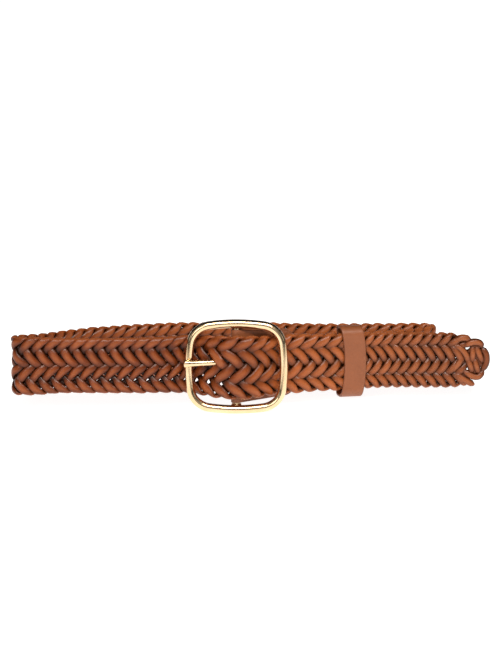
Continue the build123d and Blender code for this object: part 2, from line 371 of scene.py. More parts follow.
def make_way_for_prong(s, across, depth):
    """Thongs spread up and down round the prong, over its root and under its tip."""
    u = route_point(s)[0][:, 0] - HOLE_U
    away = across - PRONG_W
    in_buckle = np.abs(s - S_BAR) < BUCKLE_REACH
    at_hole = hump(u, HOLE_REACH) * in_buckle
    parted = np.sqrt(away**2 + at_hole * HOLE_SPREAD**2) * np.tanh(away / HOLE_EASE)
    spread = parted - away * np.tanh(np.abs(away) / HOLE_EASE)
    near = hump(u, np.where(u > 0, LIFT_REACH, PRESS_REACH)) * hump(away, LIFT_REACH_W) * in_buckle
    lift = np.where(u > 0, LIFT, -PRESS) * np.clip(np.abs(u) / LIFT_EASE, 0, 1)
    return across + spread * at_hole, depth + near * lift


# How far a thong strays from its zigzag, and over what length.
SIDE_SWAY = 0.22
SIDE_SWAY_LENGTH = 9.0
FACE_SWAY = 0.14
FACE_SWAY_LENGTH = 7.0
TUCK_LENGTH = 6
TUCK_DEPTH = 0.2


def thong_path(s, thong):
    """Centre line of one thong, its flat side's direction and the phase, at distances s."""
    phase = plait_phase(s, thong)
    pulled = skewed(phase, s)
    centre, outward = route_point(s)
    reach = along_strap(HALF_WIDTH_AT, s) - THONG_THICKNESS / 2
    across = reach * zigzag(pulled) + SIDE_SWAY * wobble(s, thong + 1.3, SIDE_SWAY_LENGTH)
    across = across + row_shift(s, across) + along_strap(TIP_DROP_AT, s)
    depth = (STRAP_THICKNESS - THONG_THICKNESS) / 2 * over_under(pulled)
    depth = depth + FACE_SWAY * wobble(s, thong + 7.7, FACE_SWAY_LENGTH)
    depth = depth * np.clip((S_TUCK - s) / TUCK_LENGTH, TUCK_DEPTH, 1)
    across, depth = make_way_for_prong(s, across, depth)
    points = np.concatenate([centre + outward * depth[:, None], across[:, None]], -1)
    roll = edge_roll(phase)
    flat = np.concatenate([outward * np.cos(roll)[:, None], np.sin(roll)[:, None]], -1)
    return points, flat, pulled


# ---- mesh making


def tube(rings, loop=False):
    """Quads round rings (count, sides, 3), capped by fans or joined end to end."""
    count, sides, _ = rings.shape
    vertices = rings.reshape(-1, 3)
    spans = count if loop else count - 1
    ring, side = np.meshgrid(np.arange(spans), np.arange(sides), indexing="ij")
    after = (side + 1) % sides
    ahead = (ring + 1) % count
    corners = [ring * sides + side, ring * sides + after, ahead * sides + after, ahead * sides + side]
    faces = np.stack(corners, -1).reshape(-1, 4).tolist()
    if not loop:
        first, last = len(vertices), len(vertices) + 1
        vertices = np.vstack([vertices, rings[0].mean(0), rings[-1].mean(0)])
        base = (count - 1) * sides
        faces += [[first, (k + 1) % sides, k] for k in range(sides)]
        faces += [[last, base + k, base + (k + 1) % sides] for k in range(sides)]
    return vertices, faces


def capped(values):
    """Per-vertex values (count, sides) for a tube with two fan centres."""
    values = np.asarray(values, float)
    return np.concatenate([values.reshape(-1), [values[0].mean(), values[-1].mean()]])


def new_object(name, data):
    """An object of the scene with this data."""
    made = bpy.data.objects.new(name, data)
    bpy.context.scene.collection.objects.link(made)
    return made


def piece(name, shells, attributes=None, body="strap", stands_for=None):
    """One smooth mesh object from several (vertices, faces) shells, riding on a body."""
    vertices, faces = [], []
    for shell_vertices, shell_faces in shells:
        start = sum(len(part) for part in vertices)
        vertices.append(shell_vertices)
        faces += [[start + index for index in face] for face in shell_faces]
    mesh = bpy.data.meshes.new(name)
    mesh.from_pydata(place(np.vstack(vertices)).tolist(), [], faces)
    for label, values in (attributes or {}).items():
        layer = mesh.attributes.new(label, "FLOAT", "POINT")
        layer.data.foreach_set("value", np.asarray(values, np.float32).reshape(-1))
    mesh.polygons.foreach_set("use_smooth", [True] * len(mesh.polygons))
    mesh.validate()
    fix_normals(mesh)
    made = new_object(name, mesh)
    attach(made, body)
    if stands_for:
        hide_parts(stands_for)
    return made


def fix_normals(mesh):
    """All faces turned outwards."""
    work = bmesh.new()
    work.from_mesh(mesh)
    bmesh.ops.recalc_face_normals(work, faces=work.faces)
    work.to_mesh(mesh)
    work.free()


def oval(sides, wide_power=1.0, thick_power=1.0):
    """Points round a unit oval; a power below 1 makes that direction squarer."""
    angles = np.arange(sides) * 2 * np.pi / sides
    cos, sin = np.cos(angles), np.sin(angles)
    wide = np.sign(cos) * np.abs(cos) ** wide_power
    thick = np.sign(sin) * np.abs(sin) ** thick_power
    return wide, thick


CORNER_STEPS = 5


def rounded_slab(half_long, half_thick, radius, long_steps):
    """Points round a rectangle with rounded corners, as (along the long side, across it)."""
    middle = half_long - radius, half_thick - radius
    points = []
    for sign_long, sign_thick, start in ((1, 1, 0), (-1, 1, 90), (-1, -1, 180), (1, -1, 270)):
        for angle in np.radians(start + np.linspace(0, 90, CORNER_STEPS)):
            x = sign_long * middle[0] + radius * math.cos(angle)
            points.append((x, sign_thick * middle[1] + radius * math.sin(angle)))
        if start in (0, 180):
            end = sign_long * middle[0]
            for value in np.linspace(end, -end, long_steps + 2)[1:-1]:
                points.append((value, sign_thick * half_thick))
    return np.array(points)


SECTION_SIDES = 20
# How much painted shade darkens a thong's sides, which also stands for darker cut edges, and where the
# strap's edges begin to count as crowns that take the painted highlight.
PAINTED_SIDE_SHADE = 0.4
CROWN_START = 0.82
CROWN_SPAN = 0.13
CROWN_HALF_WIDTH = 17
THONG_WIDE, THONG_THICK = oval(SECTION_SIDES, 0.96, 0.98)


def strand(s, points, flat, half_width, half_thick, kind):
    """A flattened tube along points with the colour attributes of plaited leather, among them the mask
    for its painted shade and painted highlight.
    """
    along = unit(np.gradient(points, axis=0))
    flat = unit(flat - (flat * along).sum(-1, keepdims=True) * along)
    side = np.cross(along, flat)
    rings = (
        points[:, None]
        + side[:, None] * (half_width[:, None] * THONG_WIDE)[..., None]
        + flat[:, None] * (half_thick[:, None] * THONG_THICK)[..., None]
    )
    centre, outward = route_point(s)
    height = ((rings[..., :2] - centre[:, None]) * outward[:, None]).sum(-1)
    # The share of height out from the strap's middle starts the painted light: low where a thong dives
    # under its neighbours, where painted shade goes, and high on the crowns, where the painted highlight
    # goes.
    painted_light = np.abs(height) / (STRAP_THICKNESS / 2)
    # Painted shade on each thong's sides, which also stands for darker cut edges.
    painted_light = painted_light * (1 - PAINTED_SIDE_SHADE * np.abs(THONG_WIDE) ** 3)
    # Near the strap's edges the thongs get the painted highlight and lose the painted shade.
    half = np.maximum(along_strap(HALF_WIDTH_AT, s), CROWN_HALF_WIDTH)
    to_edge = np.abs(rings[..., 2]) / half[:, None]
    painted_light = np.maximum(painted_light, np.clip((to_edge - CROWN_START) / CROWN_SPAN, 0, 1))
    ones = np.ones(SECTION_SIDES)
    attributes = {
        "painted_light": painted_light,
        "run": arc_lengths(points)[:, None] * ones * MM,
        "round": half_width[:, None] * THONG_WIDE * MM,
        "place": (s / LENGTH)[:, None] * ones,
        "kind": kind * np.ones(painted_light.shape),
    }
    return tube(rings), {label: capped(values) for label, values in attributes.items()}


THONG_START = 2.0
THONG_STEP = 0.7
THONG_ENDING = 3.5
ENDING_LEFT = 0.02


def build_thong(thong):
    """One plaited thong, from the tab to the tip, a little slimmer where it dives."""
    s = np.arange(THONG_START, S_TUCK, THONG_STEP)
    points, flat, pulled = thong_path(s, thong)
    taut = np.abs(over_under(pulled))
    ending = np.sqrt(np.clip((s[-1] - s) / THONG_ENDING, ENDING_LEFT, 1))
    half_width = thong_width(s) / 2 * (0.93 + 0.07 * taut + 0.03 * wobble(s, thong + 3.1, 6.0))
    half_width = half_width * loosened(s, points[:, 2]) * pinched(s, points[:, 2])
    half_thick = THONG_THICKNESS / 2 * (0.94 + 0.06 * taut + 0.04 * wobble(s, thong + 5.9, 5.0))
    shell, attributes = strand(s, points, flat, half_width * ending, half_thick * ending, thong / THONGS)
    lane = f"thong_{thong + 1}"
    return piece(lane + "_plaited", [shell], attributes, stands_for=lane)


# Where the plait ends, the thongs are turned back and tucked into one another. Each tail is
# a few listed points: distance from the tip, height, and depth towards one face.
TIP_TAILS = [
    [(-25.5, -8.0, 0.8), (-21.0, -3.0, 1.7), (-17.3, 2.6, 0.7)],
    [(-22.5, -9.3, 0.8), (-16.0, -13.6, 1.7), (-9.6, -17.0, 0.8)],
    [(-23.5, 10.5, 0.9), (-18.5, 7.4, 1.7), (-15.2, 3.0, 1.7), (-14.2, -1.5, 0.7)],
    [(-24.0, 12.6, 0.9), (-18.5, 14.9, 1.7), (-12.6, 14.3, 0.9)],
    [(-17.0, 9.3, 0.8), (-11.5, 12.0, 1.9), (-6.4, 11.6, 1.4), (-4.6, 8.4, 0.3)],
    [(-11.3, 9.2, 0.7), (-11.0, 4.0, 1.6), (-11.2, -1.4, 0.6)],
    [(-8.8, 9.0, 0.7), (-6.8, 4.4, 1.7), (-4.2, -1.6, 0.7)],
    [(-14.2, 1.0, 0.6), (-12.6, -3.5, 1.6), (-10.8, -8.6, 0.6)],
    [(-9.8, 1.0, 0.6), (-8.4, -4.0, 1.6), (-6.8, -9.0, 0.6)],
    [(-4.8, 8.2, 0.4), (-1.9, 4.0, 1.0), (-1.7, -2.0, 1.0), (-4.6, -7.6, 0.6)],
    [(-17.5, -7.0, 0.7), (-11.5, -10.8, 1.8), (-6.6, -11.2, 1.5), (-3.4, -7.0, 0.4)],
    [(-12.0, 8.5, 0.3), (-7.6, 2.0, 0.2), (-5.0, -5.0, 0.3)],
    [(-14.5, 5.5, 0.3), (-9.4, 6.5, 0.2), (-4.2, 5.5, 0.3)],
    [(-13.5, -6.0, 0.3), (-9.0, -7.6, 0.2), (-5.0, -6.5, 0.3)],
    [(-12.5, 9.2, 0.2), (-9.5, 9.6, 0.2), (-5.5, 9.0, 0.2)],
]
TAIL_WIDTH = 4.3
TAIL_STEPS = 22
TAIL_TAPER = 6


def curve_through(points, steps):
    """A smooth curve through given points."""
    points = np.array(points, float)
    padded = np.vstack([2 * points[0] - points[1], points, 2 * points[-1] - points[-2]])
    curve = []
    for index in range(len(points) - 1):
        a, b, c, d = padded[index : index + 4]
        bend = 2 * a - 5 * b + 4 * c - d
        swing = 3 * b - a - 3 * c + d
        for t in np.linspace(0, 1, steps, endpoint=index == len(points) - 2):
            curve.append(0.5 * (2 * b + (c - a) * t + bend * t**2 + swing * t**3))
    return np.array(curve)


def build_tip_tails():
    """The tucked tails on both faces of the rounded tip, as one piece."""
    shells, gathered = [], {}
    for number, chosen in enumerate(TIP_TAILS):
        for face in (1, -1):
            curve = curve_through(chosen, TAIL_STEPS)
            s = S_TIP + curve[:, 0]
            centre, outward = route_point(s)
            points = np.concatenate([centre + outward * (face * curve[:, 2:]), curve[:, 1:2]], -1)
            flat = np.concatenate([outward, np.zeros((len(s), 1))], -1)
            part = np.linspace(0, 1, len(s))
            ending = np.clip(TAIL_TAPER * np.minimum(part, 1 - part) + 0.12, 0, 1) ** 0.5
            width = TAIL_WIDTH / 2 * ending * (1 + 0.05 * math.sin(3.1 * number))
            thick = THONG_THICKNESS / 2 * ending**0.5
            shell, attributes = strand(s, points, flat, width, thick, (number * 0.37) % 1)
            shells.append(shell)
            for label, values in attributes.items():
                gathered.setdefault(label, []).append(values)
    attributes = {label: np.concatenate(values) for label, values in gathered.items()}
    return piece("tip_tails", shells, attributes)


plait = [build_thong(number) for number in range(THONGS)]
plait.append(build_tip_tails())

# ---- the buckle
SIDE_BOW = 110.0
TOP_BOW = 130.0
FRAME_CORNER = 14.5
SIDE_ROD_HALF_WIDTH = 2.72
ROD_SIDES = 40
SIDE_STEPS = 24
BEND_STEPS = 26


def frame_quarter():
    """The rod's centre line from the right side to the top middle, and its outward normals."""
    side_centre = np.array([FRAME_HALF_LENGTH - SIDE_BOW, 0.0])
    top_centre = np.array([0.0, FRAME_HALF_HEIGHT - TOP_BOW])
    near, far = SIDE_BOW - FRAME_CORNER, TOP_BOW - FRAME_CORNER
    between = top_centre - side_centre
    apart = np.linalg.norm(between)
    forward = (near**2 - far**2 + apart**2) / (2 * apart)
    sideways = math.sqrt(near**2 - forward**2)
    axis = between / apart
    corner = side_centre + axis * forward + np.array([-axis[1], axis[0]]) * sideways
    start = math.atan2(*(corner - side_centre)[::-1])
    end = math.atan2(*(corner - top_centre)[::-1])
    runs = (
        (side_centre, SIDE_BOW, np.linspace(0, start, SIDE_STEPS, endpoint=False)),
        (corner, FRAME_CORNER, np.linspace(start, end, BEND_STEPS, endpoint=False)),
        (top_centre, TOP_BOW, np.linspace(end, math.pi / 2, SIDE_STEPS)),
    )
    points, normals = [], []
    for centre, radius, angles in runs:
        spokes = np.stack([np.cos(angles), np.sin(angles)], -1)
        points.append(centre + radius * spokes)
        normals.append(spokes)
    return np.vstack(points), np.vstack(normals)


LUG_HALF_LENGTH = 3.5
LUG_HALF_HEIGHT = 1.8
LUG_CORNER = 1.2
# Depths behind the rod's centre line, and how far the lug's outline is drawn in there.
LUG_PROFILE = [(0.6, 0), (2.0, 0), (4.0, 0), (5.6, 0), (6.1, 0.1), (6.35, 0.3), (6.4, 0.55)]


def lug(side):
    """The lug that holds the bar's upper (1) or lower (-1) end."""
    slab = rounded_slab(LUG_HALF_LENGTH, LUG_HALF_HEIGHT, LUG_CORNER, 4)
    rings = []
    for depth, inset in LUG_PROFILE:
        u, w = (slab - np.sign(slab) * inset).T
        w = w + side * (FRAME_HALF_HEIGHT - LUG_HALF_HEIGHT)
        rings.append(np.stack([u, np.full(len(slab), depth), w], -1))
    return tube(np.array(rings))


def build_frame():
    """The frame's rod, a little slimmer at the sides, and the two lugs behind it."""
    quarter, normals = frame_quarter()
    flips = ((1, 1), (-1, 1), (-1, -1), (1, -1))
    outline, outward = [], []
    for index, flip in enumerate(flips):
        order = slice(None, -1) if index % 2 == 0 else slice(None, 0, -1)
        outline.append((quarter * flip)[order])
        outward.append((normals * flip)[order])
    outline, outward = np.vstack(outline), np.vstack(outward)
    slim = (ROD_RADIUS - SIDE_ROD_HALF_WIDTH) * outward[:, :1] ** 2
    angles = np.arange(ROD_SIDES) * 2 * np.pi / ROD_SIDES
    in_plane = (outline + outward * slim)[:, None] + outward[:, None] * (
        (ROD_RADIUS - slim)[..., None] * np.cos(angles)[None, :, None]
    )
    depth = np.broadcast_to(ROD_RADIUS * np.sin(angles), in_plane.shape[:2])
    rings = np.stack([in_plane[..., 0], depth, in_plane[..., 1]], -1)
    shells = [tube(rings, loop=True), lug(-1), lug(1)]
    return piece("buckle_frame_polished", shells, None, "buckle", "buckle_frame")


PIN_START = 1.5
PIN_STRAIGHT = PRONG_REACH - 1.6
PIN_STEPS = 40
PIN_SIDES = 32
# The blunt tip: distances from the prong's end, and the share of the radius left there.
PIN_END = [(1.1, 0.97), (0.7, 0.91), (0.35, 0.8), (0.12, 0.62), (0.0, 0.35)]
FLARE = 0.16
FLARE_LENGTH = 9
WAIST = 0.05
WAIST_AT = 24
WAIST_REACH = 7
EYE_RADIUS = 2.95
EYE_HALF_THICKNESS = 0.9
EYE_CORNER = 0.7
EYE_STEPS = 48


def build_prong():
    """A round pin, a little flared at its blunt tip, with its eye closed round the bar."""
    to_end, left = np.array(PIN_END).T
    distance = np.r_[np.linspace(PIN_START, PIN_STRAIGHT, PIN_STEPS), PRONG_REACH - to_end]
    rounding = np.r_[np.ones(PIN_STEPS), left]
    flare = np.clip((distance - PRONG_REACH + FLARE_LENGTH) / FLARE_LENGTH, 0, 1) ** 2
    waist = 1 - WAIST * hump(distance - WAIST_AT, WAIST_REACH)
    half_w = PRONG_RADIUS * (waist + FLARE * flare) * rounding
    half_v = PRONG_RADIUS * waist * rounding
    axis = np.array([-math.cos(PRONG_LEAN), -math.sin(PRONG_LEAN), 0])
    across = np.cross(axis, UP)
    wide, thick = oval(PIN_SIDES)
    root = np.array([0, BAR_V, PRONG_W])
    pin = (
        (root + distance[:, None] * axis)[:, None]
        + UP * (half_w[:, None] * wide)[..., None]
        + across * (half_v[:, None] * thick)[..., None]
    )
    slab = rounded_slab(PRONG_RADIUS, EYE_HALF_THICKNESS, EYE_CORNER, 6)
    turns = np.linspace(0, 2 * np.pi, EYE_STEPS, endpoint=False)
    spokes = np.stack([np.cos(turns), np.sin(turns), np.zeros(EYE_STEPS)], -1)
    ring = root + spokes[:, None] * (EYE_RADIUS + slab[:, 1])[None, :, None]
    eye = ring + UP * slab[:, 0][None, :, None]
    shells = [tube(pin), tube(eye, loop=True)]
    return piece("prong_polished", shells, None, "prong", "prong")


buckle_frame = build_frame()
prong = build_prong()

# ---- leather tab, keeper, stitches
TAB_THICKNESS = 1.6
TAB_HALF_HEIGHT = 24.6
TAB_END_HALF_HEIGHT = 21.4
TAB_END_U = 39.5
TAB_CORNER = 8.0
TAB_GAP = 0.6
TAB_EDGE_RADIUS = 0.6
TAB_STEPS = 170
FOLD_RADIUS = 2.85
FOLD_STEPS = 40
OUTER_BEND = 14
INNER_BEND = 8
BINDING_THICKNESS = 0.45
BINDING_INSIDE = 5.9
BINDING_GAP = 0.15
FRONT_OFFSET = STRAP_THICKNESS / 2 + TAB_GAP + TAB_THICKNESS / 2
BACK_OFFSET = BINDING_INSIDE / 2 + BINDING_THICKNESS + BINDING_GAP + TAB_THICKNESS / 2
TAB_BEND_LEAD = 2.5
# The slot for the prong: a box cut out of the fold and the first of both legs.
SLOT_CENTRE = np.array([-1.7, BAR_V, PRONG_W])
SLOT_SIZE = np.array([12.6, 18.0, 5.3])


def slope(start, end):
    """Angle of the line from start to end."""
    return math.atan2(end[1] - start[1], end[0] - start[0])


def beside(corner, angle_in, angle_out, distance):
    """Corner of a line that runs beside the strap, a distance behind its centre line."""
    middle = (angle_in + angle_out) / 2
    reach = distance / math.cos((angle_out - angle_in) / 2)
    return (corner[0] - reach * math.sin(middle), corner[1] + reach * math.cos(middle))


def fold_point(angle):
    """Point of the fold round the bar."""
    return (FOLD_RADIUS * math.cos(angle), BAR_V + FOLD_RADIUS * math.sin(angle))


def fold_tangent(point, side):
    """Direction, from the bar, of the fold's tangent point for a leg through point."""
    away = math.hypot(point[0], point[1] - BAR_V)
    return math.atan2(point[1] - BAR_V, point[0]) + side * math.acos(FOLD_RADIUS / away)


ENTRY_ANGLE = slope(ROUTE[15], FRONT_CORNER)
CUT_END_ANGLE = slope(ROUTE[0], ROUTE[1])
BACK_LEG_ANGLE = slope(ROUTE[1], ROUTE[2])
front_bend = beside(FRONT_CORNER, ENTRY_ANGLE, RUN_ANGLE, FRONT_OFFSET)
front_end = (TAB_END_U, front_run_v(TAB_END_U) + FRONT_OFFSET / math.cos(RUN_ANGLE))
lead = (
    ROUTE[0][0] - TAB_BEND_LEAD * math.cos(CUT_END_ANGLE),
    ROUTE[0][1] - TAB_BEND_LEAD * math.sin(CUT_END_ANGLE),
)
inner_bend = beside(lead, CUT_END_ANGLE, CUT_END_ANGLE, BACK_OFFSET)
back_bend = beside(ROUTE[1], CUT_END_ANGLE, BACK_LEG_ANGLE, BACK_OFFSET)
back_end = (TAB_END_U, back_bend[1] + (TAB_END_U - back_bend[0]) * math.tan(BACK_LEG_ANGLE))
front_tangent = fold_tangent(front_bend, -1)
back_tangent = fold_tangent(inner_bend, 1)


# A cut end is rounded off in three steps: their distances from it, and the thickness there.
CUT_STEPS = np.array([0, 0.12, 0.4])
CUT_THICKNESS = (0.55, 0.82, 0.95)
CUT_END = 1.2


def crowded_ends(count, length):
    """Stations along a length, close together at both ends."""
    inner = np.linspace(CUT_END, length - CUT_END, count)
    return np.r_[CUT_STEPS, inner, length - CUT_STEPS[::-1]]


def band(path, long_axis, normals, half_long, thickness, radius, long_steps=24):
    """A band: a rounded slab section carried along path, thinner at its cut ends."""
    rings, rim = [], []
    count = len(path)
    for index, half in enumerate(np.broadcast_to(half_long, count)):
        to_end = min(index, count - 1 - index)
        squeeze = CUT_THICKNESS[to_end] if to_end < len(CUT_THICKNESS) else 1.0
        slab = rounded_slab(half, thickness / 2 * squeeze, radius * squeeze, long_steps)
        rings.append(path[index] + slab[:, :1] * long_axis + slab[:, 1:] * normals[index])
        rim.append(half - np.abs(slab[:, 0]))
    return tube(np.array(rings)), np.array(rim)


def standing(path):
    """A path in the (u, v) plane as 3-D points, with the normals beside it."""
    along = unit(np.gradient(path, axis=0))
    level = np.zeros(len(path))
    return np.stack([*path.T, level], -1), np.stack([along[:, 1], -along[:, 0], level], -1)


def cut_box(target, centre, size):
    """Cut a box, given in the belt's frame, out of a mesh object."""
    corners = np.array([[x, y, z] for x in (-1, 1) for y in (-1, 1) for z in (-1, 1)], float) / 2
    mesh = bpy.data.meshes.new("cutter")
    quads = [(0, 1, 3, 2), (4, 6, 7, 5), (0, 4, 5, 1), (2, 3, 7, 6), (0, 2, 6, 4), (1, 5, 7, 3)]
    mesh.from_pydata(place(corners * size + centre).tolist(), [], quads)
    fix_normals(mesh)
    cutter = new_object("cutter", mesh)
    modifier = target.modifiers.new("slot", "BOOLEAN")
    modifier.operation = "DIFFERENCE"
    modifier.object = cutter
    modifier.solver = "EXACT"
    bpy.context.view_layer.update()
    evaluated = target.evaluated_get(bpy.context.evaluated_depsgraph_get())
    result = bpy.data.meshes.new_from_object(evaluated)
    target.modifiers.clear()
    target.data = result
    bpy.data.objects.remove(cutter)


def build_chape():
    """The leather tab: one strip folded round the bar, slotted for the prong."""
    sweep = np.linspace(front_tangent, back_tangent - 2 * math.pi, FOLD_STEPS)
    front_leg = [front_end, front_bend, fold_point(front_tangent)]
    back_leg = [fold_point(back_tangent), inner_bend, back_bend, back_end]
    front = rounded_route(front_leg, [OUTER_BEND], STEP)
    fold = [fold_point(angle) for angle in sweep[1:-1]]
    back = rounded_route(back_leg, [INNER_BEND, OUTER_BEND], STEP)
    path = np.vstack([front, fold, back])
    length = arc_lengths(path)[-1]
    stations = crowded_ends(TAB_STEPS, length)
    path = resampled(path, stations)
    taper = np.clip(path[:, 0] / TAB_END_U, 0, 1)
    half = TAB_HALF_HEIGHT + (TAB_END_HALF_HEIGHT - TAB_HALF_HEIGHT) * taper
    to_end = np.minimum(stations, length - stations)
    cut = np.clip(TAB_CORNER - to_end, 0, TAB_CORNER)
    half = half - TAB_CORNER + np.sqrt(TAB_CORNER**2 - cut**2)
    points, normals = standing(path)
    shell, rim = band(points, UP, normals, half, TAB_THICKNESS, TAB_EDGE_RADIUS)
    rims = {"rim": capped(rim * MM)}
    made = piece("chape_leather", [shell], rims, stands_for="chape")
    cut_box(made, SLOT_CENTRE, SLOT_SIZE)
    return made


KEEPER_U = 77.0
KEEPER_WIDTH = 15.0
KEEPER_THICKNESS = 1.7
KEEPER_HEIGHT = 48.0
KEEPER_SLACK = 0.7
KEEPER_DEPTH = 2 * STRAP_THICKNESS + LAYER_GAP + KEEPER_SLACK
KEEPER_INNER_CORNER = 4.0
KEEPER_CORNER = KEEPER_INNER_CORNER + KEEPER_THICKNESS / 2
KEEPER_EDGE_RADIUS = 0.65
KEEPER_STEPS = 190
KEEPER_SEAM = 0.12
# The keeper's middle stands ahead of its place by a share of the bow, and its ends behind.
KEEPER_BOW = 2.4
BOW_AHEAD = 0.4
keeper_centre = np.array([KEEPER_U, front_run_v(KEEPER_U) + LAYER_PITCH / 2, 0.0])
keeper_along = np.array([math.cos(RUN_ANGLE), math.sin(RUN_ANGLE), 0.0])
keeper_front = np.array([math.sin(RUN_ANGLE), -math.cos(RUN_ANGLE), 0.0])


def build_keeper():
    """The keeper: a band round both layers, its ends butted together behind."""
    high = (KEEPER_HEIGHT - KEEPER_THICKNESS) / 2
    deep = (KEEPER_DEPTH + KEEPER_THICKNESS) / 2
    corners = [(-KEEPER_SEAM, -deep), (-high, -deep), (-high, deep)]
    corners += [(high, deep), (high, -deep), (KEEPER_SEAM, -deep)]
    path = rounded_route(corners, [KEEPER_CORNER] * 4, 0.3)
    path = resampled(path, crowded_ends(KEEPER_STEPS, arc_lengths(path)[-1]))
    along = unit(np.gradient(path, axis=0))
    bow = KEEPER_BOW * (BOW_AHEAD - (path[:, :1] / high) ** 2)
    points = keeper_centre + path[:, 1:] * keeper_front + path[:, :1] * UP + bow * keeper_along
    normals = along[:, :1] * keeper_front - along[:, 1:] * UP
    half = KEEPER_WIDTH / 2
    shell, rim = band(points, keeper_along, normals, half, KEEPER_THICKNESS, KEEPER_EDGE_RADIUS, 12)
    rims = {"rim": capped(rim * MM)}
    return piece("keeper_leather", [shell], rims, "keeper", "keeper_loop")


THREAD_HALF_WIDTH = 0.4
THREAD_HALF_THICKNESS = 0.24
THREAD_SIDES = 10
STITCH_STEPS = 13
STITCH_RISE = 0.42
STITCH_SINK = 0.16
TAB_STITCH = 3.0
TAB_STITCH_PITCH = 4.2
OUTER_COLUMN_U = TAB_END_U - 3.0
INNER_COLUMN_U = 19.0
SEAM_STITCH = 5.0
SEAM_STITCH_PITCH = 3.0


def stitch(centre, direction, outward, length):
    """One stitch: a short thread that rises out of the leather and dives back into it."""
    turns = np.linspace(0, math.pi, STITCH_STEPS)
    along = -np.cos(turns) * (length / 2 - 0.1)
    lift = STITCH_RISE * np.sin(turns) ** 0.7 - STITCH_SINK
    across = np.cross(direction, outward)
    wide, thick = oval(THREAD_SIDES)
    section = across * (THREAD_HALF_WIDTH * wide)[:, None]
    section = section + outward * (THREAD_HALF_THICKNESS * thick)[:, None]
    middle = centre + along[:, None] * direction + lift[:, None] * outward
    return tube(middle[:, None] + section)


def build_stitches():
    """Four columns through the tab's legs, and five stitches across the keeper's seam."""
    legs = (
        (front_end, RUN_ANGLE, OUTER_COLUMN_U, -1),
        (front_bend, slope(fold_point(front_tangent), front_bend), INNER_COLUMN_U, -1),
        (back_bend, BACK_LEG_ANGLE, OUTER_COLUMN_U, 1),
        (back_bend, CUT_END_ANGLE, INNER_COLUMN_U, 1),
    )
    shells = []
    for corner, angle, u, side in legs:
        foot = np.array([u, corner[1] + (u - corner[0]) * math.tan(angle), 0])
        outward = side * np.array([-math.sin(angle), math.cos(angle), 0])
        for row in range(-4, 5):
            centre = foot + outward * TAB_THICKNESS / 2 + UP * TAB_STITCH_PITCH * row
            shells.append(stitch(centre, UP, outward, TAB_STITCH))
    chape_threads = piece("chape_threads", shells, stands_for="chape_stitching")
    back = keeper_centre - keeper_front * (KEEPER_DEPTH / 2 + KEEPER_THICKNESS)
    middle = back + BOW_AHEAD * KEEPER_BOW * keeper_along
    shells = []
    for row in range(-2, 3):
        centre = middle + keeper_along * SEAM_STITCH_PITCH * row
        shells.append(stitch(centre, UP, -keeper_front, SEAM_STITCH))
    keeper_threads = piece("keeper_threads", shells, None, "keeper", "keeper_stitches")
    return chape_threads, keeper_threads


BINDING_REACH = 9.0
BINDING_START = 0.3
BINDING_HALF_WIDTH = 19.9
BINDING_CORNER = 0.5
BINDING_EDGE_RADIUS = 0.15


def build_binding():
    """Tape folded round the thongs' cut ends, inside the tab."""
    along = np.array([math.cos(CUT_END_ANGLE), math.sin(CUT_END_ANGLE)])
    behind = np.array([-along[1], along[0]])
    start = np.array(ROUTE[0])
    off = (BINDING_INSIDE + BINDING_THICKNESS) / 2
    leg, fold = BINDING_REACH, -BINDING_START
    ends = ((leg, -off), (fold, -off), (fold, off), (leg, off))
    corners = [start + ahead * along + side * behind for ahead, side in ends]
    path, _ = evenly(rounded_route(corners, [BINDING_CORNER] * 2, 0.1), 0.3)
    points, normals = standing(path)
    shell, _ = band(points, UP, normals, BINDING_HALF_WIDTH, BINDING_THICKNESS, BINDING_EDGE_RADIUS)
    return piece("end_tape", [shell], stands_for="end_binding")


chape = build_chape()
keeper = build_keeper()
threads = build_stitches()
end_tape = build_binding()

# ---- materials


def srgb(red, green, blue):
    """A linear colour from 0-255 display values."""
    channels = [value / 255 for value in (red, green, blue)]
    linear = [v / 12.92 if v <= 0.04045 else ((v + 0.055) / 1.055) ** 2.4 for v in channels]
    return (*linear, 1)


def new_material(name):
    """A material, its node tree and its shader."""
    made = bpy.data.materials.new(name)
    made.use_nodes = True
    return made, made.node_tree, made.node_tree.nodes["Principled BSDF"]


def feed(tree, node, inputs):
    """A node's inputs, given as values or as sockets to link."""
    for key, value in inputs.items():
        if isinstance(value, bpy.types.NodeSocket):
            tree.links.new(value, node.inputs[key])
        else:
            node.inputs[key].default_value = value


def add(tree, kind, inputs=None, **settings):
    """A new node with its settings and inputs."""
    made = tree.nodes.new("ShaderNode" + kind)
    for key, value in settings.items():
        setattr(made, key, value)
    feed(tree, made, inputs or {})
    return made


def coat(tree, shader, colour, surface, rough):
    """A shader's colour, relief and roughness."""
    feed(tree, shader, {"Base Color": colour, "Normal": surface, "Roughness": rough})


def object_coords(tree):
    return add(tree, "TexCoord").outputs["Object"]


def attribute(tree, name):
    return add(tree, "Attribute", attribute_name=name).outputs["Fac"]


def math_node(tree, operation, first, second=0.0):
    return add(tree, "Math", {0: first, 1: second}, operation=operation).outputs[0]


def times(tree, first, second):
    return math_node(tree, "MULTIPLY", first, second)


def noise(tree, vector, scale, detail=3.0, roughness=0.55):
    inputs = {"Vector": vector, "Scale": scale, "Detail": detail, "Roughness": roughness}
    return add(tree, "TexNoise", inputs).outputs["Fac"]


def remap(tree, value, low, high, to_low, to_high):
    inputs = {"Value": value, "From Min": low, "From Max": high, "To Min": to_low, "To Max": to_high}
    return add(tree, "MapRange", inputs).outputs["Result"]


def patches(tree, coords, scale, low, high, detail=3.0):
    """Soft patches of noise that range from low to high."""
    return remap(tree, noise(tree, coords, scale, detail), 0.3, 0.7, low, high)


